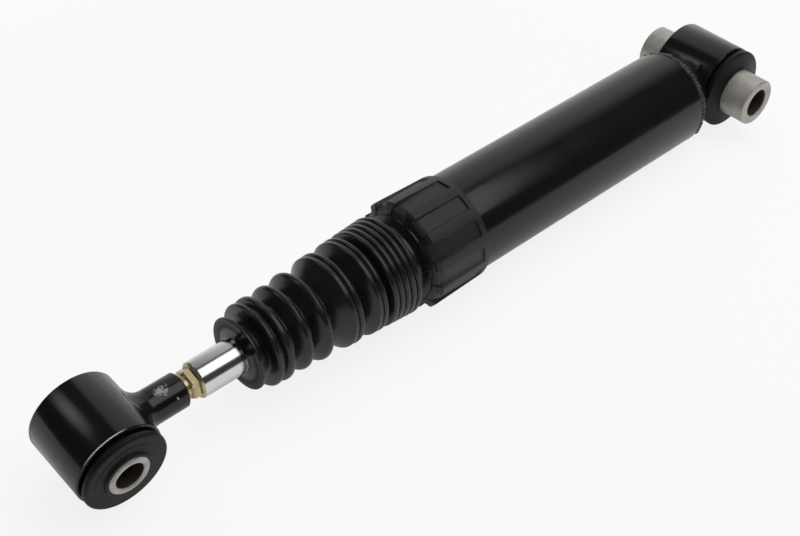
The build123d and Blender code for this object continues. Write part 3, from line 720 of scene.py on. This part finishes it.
# Piston rod
# Steel rod, ground and hard chromed, with a spanner hexagon at its end. Hexagon, stud and the chamfer behind
# them are left in tan passivated zinc, and the stud screws into the rod eye's stem.
rod_low, rod_high = extent("piston_rod")
rod_r = rod_high.z
rod_shoulder = 144.95
rod_tenon_r = 5.0
rod_front = 322.1
rod_chamfer = 1.0
rod_chamfer_round = 0.4
rod_front_round = 0.2
chrome_end = rod_front - 0.75 * rod_chamfer
hex_length = 3.6
hex_flat_r = 6.0
hex_corner_r = hex_flat_r / cos(pi / 6)
hex_turn = radians(40.7)
hex_chamfer = 0.5

# Hard chrome: bright, its reflections softened by very fine grinding marks round the rod.
chrome_grind = 0.3 * mm
grind_stretch = (1, 0.05, 0.05)
hard_chrome, tree, shader, place = start_finish(
    "ground_hard_chrome", Metallic=1.0, Base_Color=linear("#e4e4e6"))
stretch = add_node(tree, "ShaderNodeMapping", {"Vector": place, "Scale": grind_stretch})
grind = add_node(tree, "ShaderNodeTexNoise", {
    "Vector": stretch.outputs["Vector"], "Scale": 1 / chrome_grind, "Detail": 2})
spread = add_node(tree, "ShaderNodeMapRange", {"Value": grind.outputs["Fac"], "To Min": 0.13, "To Max": 0.22})
tree.links.new(spread.outputs["Result"], shader.inputs["Roughness"])

# Passivated zinc: tan to brown, half bright, cloudy.
zinc_cloud = 2.5 * mm
tan_zinc, tree, shader, place = start_finish("tan_passivated_zinc", Metallic=0.8)
mottle(tree, shader, place, zinc_cloud, detail=5, colours=("#9f8c63", "#e3d6b0"), roughness=(0.36, 0.2))

mesh = bmesh.new()
lathe(mesh, rounded([
    (rod_low.x, 0),
    (rod_low.x, rod_tenon_r),
    (rod_shoulder, rod_tenon_r),
    (rod_shoulder, rod_r),
    (rod_front - rod_chamfer, rod_r, rod_chamfer_round),
    (rod_front, rod_r - rod_chamfer, rod_front_round),
    (rod_front, rod_tenon_r),
    (rod_high.x, rod_tenon_r),
    (rod_high.x, 0),
]))
lathe(mesh, [
    (rod_front, 0),
    (rod_front, hex_corner_r - hex_chamfer),
    (rod_front + hex_chamfer, hex_corner_r),
    (rod_front + hex_length - hex_chamfer, hex_corner_r),
    (rod_front + hex_length, hex_corner_r - hex_chamfer),
    (rod_front + hex_length, 0),
], side=(0, cos(hex_turn), sin(hex_turn)), sides=6)
for face in mesh.faces:
    face.material_index = 1 if face.calc_center_median().x > chrome_end * mm else 0
rod = made("chromed_rod", mesh, sharp=25)
rod.data.materials.append(hard_chrome)
rod.data.materials.append(tan_zinc)
fit(rod, "rod", "rod_chrome", "piston_rod")

# Rod eye stem and weld
# A short turned stem between rod and eye, welded to the ring with a smooth flare and enamelled black.
# Handling has rubbed the enamel through to pale primer on its upper side and chipped its end.
stem_low, stem_high = extent("rod_eye_stem")
stem_r = stem_high.z
stem_bore_r = 5.05
stem_bore_end = 341.5
stem_chamfer = 0.8
stem_edge_round = 0.3
flare_toe = 342.9
flare_foot_r = 12.0
flare_lump = 0.35
flare_grain = 2.6
eye_mounts = {mount["name"]: mount for mount in frame["record"]["mounts"]}
rod_eye_place = Vector(eye_mounts["rod_eye"]["pos_m"])
rod_eye_axis = Vector(eye_mounts["rod_eye"]["axis"])
rod_eye = {"origin": rod_eye_place, "axis": rod_eye_axis, "side": (1, 0, 0)}
rod_ring_r = (extent("rod_eye_ring")[1].x - extent("rod_eye_ring")[0].x) / 2


def copied_finish(finish, name):
    """A copy of a finish: the material, its node tree, its shader and the piece's own coordinates."""
    material = finish.copy()
    material.name = name
    tree = material.node_tree
    place = add_node(tree, "ShaderNodeTexCoord").outputs["Object"]
    return material, tree, tree.nodes["Principled BSDF"], place


# The same enamel, rubbed to a pale grey-green primer in one place and chipped in another.
rub_centre = (337.4 * mm, 2.0 * mm, 7.4 * mm)
rub_size = (3.4 * mm, 2.6 * mm, 2.3 * mm)
chip_centre = (333.4 * mm, 6.6 * mm, 3.8 * mm)
chip_size = (0.6 * mm, 0.8 * mm, 0.9 * mm)
rub_grain = 1.2 * mm
rub_tear = 3.2
rub_edge = {"From Min": 2.5, "From Max": 1.9, "To Min": 0, "To Max": 0.9}
rubbed_enamel, tree, shader, place = copied_finish(black_enamel, "rubbed_black_enamel")
ragged = add_node(tree, "ShaderNodeTexNoise", {"Vector": place, "Scale": 1 / rub_grain, "Detail": 6})
marks = []
for centre, size in ((rub_centre, rub_size), (chip_centre, chip_size)):
    away = add_node(tree, "ShaderNodeVectorMath", {0: place, 1: centre}, operation="SUBTRACT")
    scaled = add_node(tree, "ShaderNodeVectorMath", {0: away.outputs["Vector"], 1: size}, operation="DIVIDE")
    far = add_node(tree, "ShaderNodeVectorMath", {0: scaled.outputs["Vector"]}, operation="LENGTH")
    torn = add_node(tree, "ShaderNodeMath", {0: ragged.outputs["Fac"], 1: rub_tear, 2: far.outputs["Value"]},
                    operation="MULTIPLY_ADD")
    mark = add_node(tree, "ShaderNodeMapRange", {"Value": torn.outputs["Value"], **rub_edge})
    marks.append(mark.outputs["Result"])
worn = add_node(tree, "ShaderNodeMath", {0: marks[0], 1: marks[1]}, operation="MAXIMUM")
lay_over(tree, shader, worn.outputs["Value"], "#9aa097", 0.6)

ring_twist = -Vector((0, 1, 0)).angle(rod_eye_axis)


def saddle(radius, angle):
    """Where the ring's outside lies along the damper, at a radius and angle round the damper's axis."""
    offset = radius * sin(angle - ring_twist)
    return rod_eye_place.x / mm - sqrt((rod_ring_r + fit_gap) ** 2 - offset ** 2)


def stem_spot(along, radius, angle):
    """Carry the stem's far end onto the ring."""
    return (saddle(radius, angle) if along > stem_bore_end else along), radius


def flare_spot(share, radius, angle):
    """Spread the flare from its toe to the ring, with the unevenness of weld metal."""
    along = flare_toe + share * (saddle(radius, angle) - flare_toe)
    spot = Vector((along, radius * cos(angle), radius * sin(angle)))
    swell = flare_lump * noise.noise(spot / flare_grain) * share if radius > stem_r + 2 * fit_gap else 0
    return along, radius + swell


mesh = bmesh.new()
lathe(mesh, rounded([
    (stem_low.x, stem_bore_r),
    (stem_low.x, stem_r - stem_chamfer, stem_edge_round),
    (stem_low.x + stem_chamfer, stem_r, stem_edge_round),
    (stem_high.x, stem_r),
    (stem_high.x, 0),
    (stem_bore_end, 0),
    (stem_bore_end, stem_bore_r),
]), sides=96, place=stem_spot)
stem = made("painted_stem", mesh)
fit(stem, "rod", "black_paint", "rod_eye_stem", material=rubbed_enamel)

flare_toe_r = stem_r + fit_gap
flare_rise = flare_foot_r - flare_toe_r
flare_arc = [radians(9 * step) for step in range(11)]
flare_outline = [(sin(angle), flare_foot_r - flare_rise * cos(angle)) for angle in flare_arc]
flare_outline += [(1, flare_foot_r - flare_rise * step / 4) for step in range(1, 5)]
mesh = bmesh.new()
lathe(mesh, flare_outline, sides=144, place=flare_spot)
flare = made("stem_weld_flare", mesh, sharp=50)
fit(flare, "rod", "black_paint", "rod_eye_weld", material=black_enamel)

# Rod eye ring, bush and sleeve
# The smaller eye, made like the other: an enamelled ring, a moulded bush with a rounded flange on its near
# side, and a short phosphated sleeve.
rod_ring_wall = 3.25
rod_ring_near = 15.0
rod_ring_far = 17.2
rod_ring_far_edge = 0.8
rod_sleeve_half = 21.7
rod_sleeve_r = 9.0
rod_bore_r = 6.15

# The same enamel with a painted highlight: a thin light grey line on the upper side of the ring's near rim.
rim_width = 0.4
rim_angle = radians(70)
rim_side = (cos(rim_angle), 0, sin(rim_angle))
rim_fade = {"From Min": 0.59, "From Max": 0.7}
rim_highlight_enamel, tree, shader, place = copied_finish(black_enamel, "rim_highlight_black_enamel")
off = add_node(tree, "ShaderNodeVectorMath", {0: place, 1: rod_eye_place}, operation="SUBTRACT")
along = add_node(tree, "ShaderNodeVectorMath", {0: off.outputs["Vector"], 1: rod_eye_axis},
                 operation="DOT_PRODUCT")
near = add_node(tree, "ShaderNodeMath", {0: along.outputs["Value"], 1: (rod_ring_near - ring_near_edge) * mm,
                                         2: rim_width / 2 * mm}, operation="COMPARE")
outwards = add_node(tree, "ShaderNodeVectorMath", {0: off.outputs["Vector"]}, operation="NORMALIZE")
facing = add_node(tree, "ShaderNodeVectorMath", {0: outwards.outputs["Vector"], 1: rim_side},
                  operation="DOT_PRODUCT")
upper = add_node(tree, "ShaderNodeMapRange", {"Value": facing.outputs["Value"], **rim_fade})
painted_rim_highlight = add_node(tree, "ShaderNodeMath", {0: near.outputs["Value"], 1: upper.outputs["Result"]},
                operation="MULTIPLY")
# Painted highlight: light grey laid over the enamel along the rim's upper side, standing in for a glint.
lay_over(tree, shader, painted_rim_highlight.outputs["Value"], "#dad9d6")

rod_ring = eye_ring("painted_rod_ring", (-rod_ring_far, rod_ring_near), rod_ring_r, rod_ring_wall,
                    rod_ring_far_edge, rod_eye)
fit(rod_ring, "rod", "black_paint", "rod_eye_ring", material=rim_highlight_enamel)
rod_bush = eye_bush("rod_bush_rubber", -rod_ring_far, rod_ring_near, rod_ring_r - rod_ring_wall - fit_gap,
                    rod_sleeve_r + fit_gap, rod_eye, rim_r=rod_ring_r - 0.6, rim_round=2.3,
                    groove=1.9, edge=4.8, lift=4.8, collar_lift=1.2, step_r=14.0)
fit(rod_bush, "rod", "bush_rubber", "rod_eye_bush", material=bush_rubber)
rod_sleeve = eye_sleeve("rod_sleeve_steel", rod_sleeve_half, rod_sleeve_r, rod_bore_r, rod_eye)
fit(rod_sleeve, "rod_sleeve", "sleeve_steel", "rod_eye_sleeve", material=phosphated_steel)
darken_bore(rod_sleeve, rod_bore_r, rod_eye)

# Inner pieces
# What works inside the sealed tube: drawn and stamped steel, sintered iron, a bronze-lined bush, nitrile
# rubber and a filled polymer band, all as the frame gives them, with a film of oil on the metal.
inner_cloud = 4 * mm
inner_finishes = {
    "oiled_drawn_steel": ("#8f8f8d", "#b5b4b1", 1.0, 0.28, [
        "pressure_tube", "seal_washer", "base_valve_discs", "base_valve_check_disc", "base_valve_spring",
        "base_valve_rivet", "piston_rebound_discs", "piston_check_disc", "piston_spring", "piston_nut",
        "rebound_collar"]),
    "sintered_iron": ("#4c4b49", "#6d6b68", 0.9, 0.55, ["rod_guide", "base_valve_body", "piston"]),
    "bronze_lining": ("#8c6a3a", "#b48c52", 1.0, 0.35, ["guide_bush"]),
    "nitrile_rubber": ("#1a1a1a", "#2a2a2a", 0.0, 0.5, ["rod_seal", "rebound_buffer"]),
    "filled_polymer": ("#3a332c", "#54493e", 0.0, 0.45, ["piston_band"]),
}
for name, (dark, light, metallic, roughness, nodes) in inner_finishes.items():
    material, tree, shader, place = start_finish(name, Metallic=metallic, Roughness=roughness)
    mottle(tree, shader, place, inner_cloud, detail=5, colours=(dark, light))
    for node in nodes:
        frame["nodes"][node].material_slots[0].material = material

# Table
# A pale board, lit a little from below, under the damper, which lies on its cap and on its tube's far end.
# It fades out towards its edge, so only the soft shadow shows of it against the white surround.
table_r = 0.9
table_gone = 0.55
table_fade = 0.22
table_x = 0.19
table_drop = -0.0257
table_tilt = radians(0.7)
table_glow = 0.85
table_light = 0.3
table = bpy.data.objects.new("table", bpy.data.meshes.new("table"))
bpy.context.scene.collection.objects.link(table)
disc = bmesh.new()
bmesh.ops.create_circle(disc, cap_ends=True, segments=96, radius=table_r)
disc.transform(Matrix.Translation((table_x, 0, table_drop)) @ Matrix.Rotation(table_tilt, 4, "Y"))
disc.to_mesh(table.data)
disc.free()
matt_board = bpy.data.materials.new("matt_white_board")
matt_board.use_nodes = True
tree = matt_board.node_tree
tree.nodes.clear()
board = add_node(tree, "ShaderNodeBsdfDiffuse", {"Color": linear("#eeeeee")})
glow = add_node(tree, "ShaderNodeEmission", {"Color": (1, 1, 1, 1), "Strength": 1.0})
seen = add_node(tree, "ShaderNodeLightPath").outputs["Is Camera Ray"]
share = add_node(tree, "ShaderNodeMapRange", {"Value": seen, "To Min": table_light, "To Max": table_glow})
lit = add_node(tree, "ShaderNodeMixShader", {0: share.outputs["Result"], 1: board.outputs["BSDF"],
                                             2: glow.outputs["Emission"]})
place = add_node(tree, "ShaderNodeTexCoord").outputs["Object"]
middle = add_node(tree, "ShaderNodeVectorMath", {0: place, 1: (table_x, 0, table_drop)}, operation="DISTANCE")
edge = add_node(tree, "ShaderNodeMapRange", {"Value": middle.outputs["Value"], "From Min": table_fade,
                                             "From Max": table_gone})
gone = add_node(tree, "ShaderNodeMath", {0: edge.outputs["Result"], 1: seen}, operation="MULTIPLY")
clear = add_node(tree, "ShaderNodeBsdfTransparent")
faded = add_node(tree, "ShaderNodeMixShader", {0: gone.outputs["Value"], 1: lit.outputs["Shader"],
                                               2: clear.outputs["BSDF"]})
add_node(tree, "ShaderNodeOutputMaterial", {"Surface": faded.outputs["Shader"]})
table.data.materials.append(matt_board)

# Studio
# White all round, shut off by black flags except for a paper backdrop behind the damper's far end. Two
# softboxes and a front card draw the streaks on the enamel, and a wide lamp overhead fills in, unseen in it.
studio_centre = Vector((0.19, 0, 0))
flag_r = 1.5
flag_low = radians(0.1)
paper_sides = (radians(180), radians(260))
paper_top = radians(80)
paper_levels = [(0.0, 0.92), (0.28, 0.75), (0.66, 0.66), (0.93, 0.62), (0.985, 0.0)]
paper_left = {"From Min": 0.0, "From Max": -0.5}
paper_right = {"From Min": -0.08, "From Max": -0.24}
flag_glow = 0.035
white = (1, 1, 1, 1)
world = bpy.context.scene.world or bpy.data.worlds.new("studio")
bpy.context.scene.world = world
world.use_nodes = True
world.node_tree.nodes["Background"].inputs["Color"].default_value = white
world.node_tree.nodes["Background"].inputs["Strength"].default_value = 1.0

# Flag cloth: dull black, with the little light that strays about a studio.
black_cloth, tree, shader, place = start_finish(
    "black_flag_cloth", Base_Color=(0, 0, 0, 1), Specular_IOR_Level=0, Emission_Color=white,
    Emission_Strength=flag_glow)

# Backdrop paper: lit from below, so it dims towards its top and towards both sides.
lit_paper = bpy.data.materials.new("lit_backdrop_paper")
lit_paper.use_nodes = True
tree = lit_paper.node_tree
tree.nodes.clear()
place = add_node(tree, "ShaderNodeTexCoord").outputs["Object"]
parts = add_node(tree, "ShaderNodeSeparateXYZ", {"Vector": place})
height = add_node(tree, "ShaderNodeMath", {0: parts.outputs["Z"], 1: flag_r}, operation="DIVIDE")
fall = add_node(tree, "ShaderNodeValToRGB", {"Fac": height.outputs["Value"]})
ramp_stops = fall.color_ramp.elements
while len(ramp_stops) < len(paper_levels):
    ramp_stops.new(1.0)
for stop, (level, light) in zip(ramp_stops, paper_levels):
    stop.position = level
    stop.color = (light, light, light, 1)
left = add_node(tree, "ShaderNodeMapRange", {"Value": parts.outputs["Y"], **paper_left})
right = add_node(tree, "ShaderNodeMapRange", {"Value": parts.outputs["X"], **paper_right})
shown = add_node(tree, "ShaderNodeMath", {0: left.outputs["Result"], 1: right.outputs["Result"]},
                 operation="MULTIPLY")
glow = add_node(tree, "ShaderNodeEmission", {"Color": fall.outputs["Color"],
                                             "Strength": shown.outputs["Value"]})
add_node(tree, "ShaderNodeOutputMaterial", {"Surface": glow.outputs["Emission"]})

azimuth_cells, height_cells = 72, 24
azimuths = [tau * step / azimuth_cells for step in range(azimuth_cells + 1)]
heights = [flag_low + (pi / 2 - flag_low) * step / height_cells for step in range(height_cells + 1)]
for name, material in (("flags", black_cloth), ("backdrop", lit_paper)):
    screen = bpy.data.objects.new(name, bpy.data.meshes.new(name))
    bpy.context.scene.collection.objects.link(screen)
    cloth = bmesh.new()
    spots = [[cloth.verts.new(studio_centre + flag_r * Vector((cos(h) * cos(a), cos(h) * sin(a), sin(h))))
              for a in azimuths] for h in heights]
    for low_row, high_row, low_height in zip(spots, spots[1:], heights):
        for cell, azimuth in enumerate(azimuths[:-1]):
            paper = paper_sides[0] <= azimuth < paper_sides[1] and low_height < paper_top
            if paper == (name == "backdrop"):
                cloth.faces.new((low_row[cell], low_row[cell + 1], high_row[cell + 1], high_row[cell]))
    bmesh.ops.delete(cloth, geom=[vert for vert in cloth.verts if not vert.link_faces], context="VERTS")
    cloth.to_mesh(screen.data)
    cloth.free()
    screen.data.materials.append(material)
    screen.visible_camera = False


def softbox(name, spot, aim, across, upright, radiance, tint, gloss=True, spread=pi):
    """A rectangular lamp at a spot, facing its aim, that shines with the given radiance."""
    lamp = bpy.data.lights.new(name, "AREA")
    lamp.shape = "RECTANGLE"
    lamp.size = across
    lamp.size_y = upright
    lamp.spread = spread
    lamp.color = linear(tint)[:3]
    lamp.energy = radiance * pi * across * upright
    box = bpy.data.objects.new(name, lamp)
    back = (Vector(spot) - Vector(aim)).normalized()
    rise = back.cross((1, 0, 0)).normalized()
    turn = Matrix((rise.cross(back), rise, back)).transposed().to_4x4()
    box.matrix_world = Matrix.Translation(spot) @ turn
    box.visible_camera = False
    box.visible_glossy = gloss
    bpy.context.scene.collection.objects.link(box)


softbox("left_softbox", spot=(-0.24, 0.43, 0.98), aim=(0.22, 0, 0), across=0.56, upright=1.00, radiance=1.6,
        tint="#ffffff")
softbox("right_softbox", spot=(0.726, -0.756, 0.878), aim=(0.36, 0, 0), across=0.56, upright=0.60,
        radiance=0.07, tint="#f0f5ff", spread=radians(34))
softbox("front_card", spot=(0.78, 0.77, 0.95), aim=(0.30, 0, 0), across=0.5, upright=0.5, radiance=0.8,
        tint="#ffffff")
softbox("overhead_fill", spot=(0.02, 0.05, 0.9), aim=(0.15, 0, 0), across=1.0, upright=1.0, radiance=1.9,
        tint="#ffffff", gloss=False)

# Camera
# At the photograph's place, aimed along its line of sight and turned by its small roll.
camera_place = Vector((0.5210, 0.3238, 0.4002))
camera_sight = Vector((-0.5119, -0.5350, -0.6721))
camera_roll = radians(1.533)
camera_sensor = 36.0
camera_lens = 62.43
camera = bpy.data.objects.new("camera", bpy.data.cameras.new("camera"))
bpy.context.scene.collection.objects.link(camera)
camera.data.sensor_width = camera_sensor
camera.data.lens = camera_lens
turn = camera_sight.to_track_quat("-Z", "Y").to_matrix().to_4x4() @ Matrix.Rotation(camera_roll, 4, "Z")
camera.matrix_world = Matrix.Translation(camera_place) @ turn
bpy.context.scene.camera = camera
bpy.context.scene.view_settings.view_transform = "Standard"
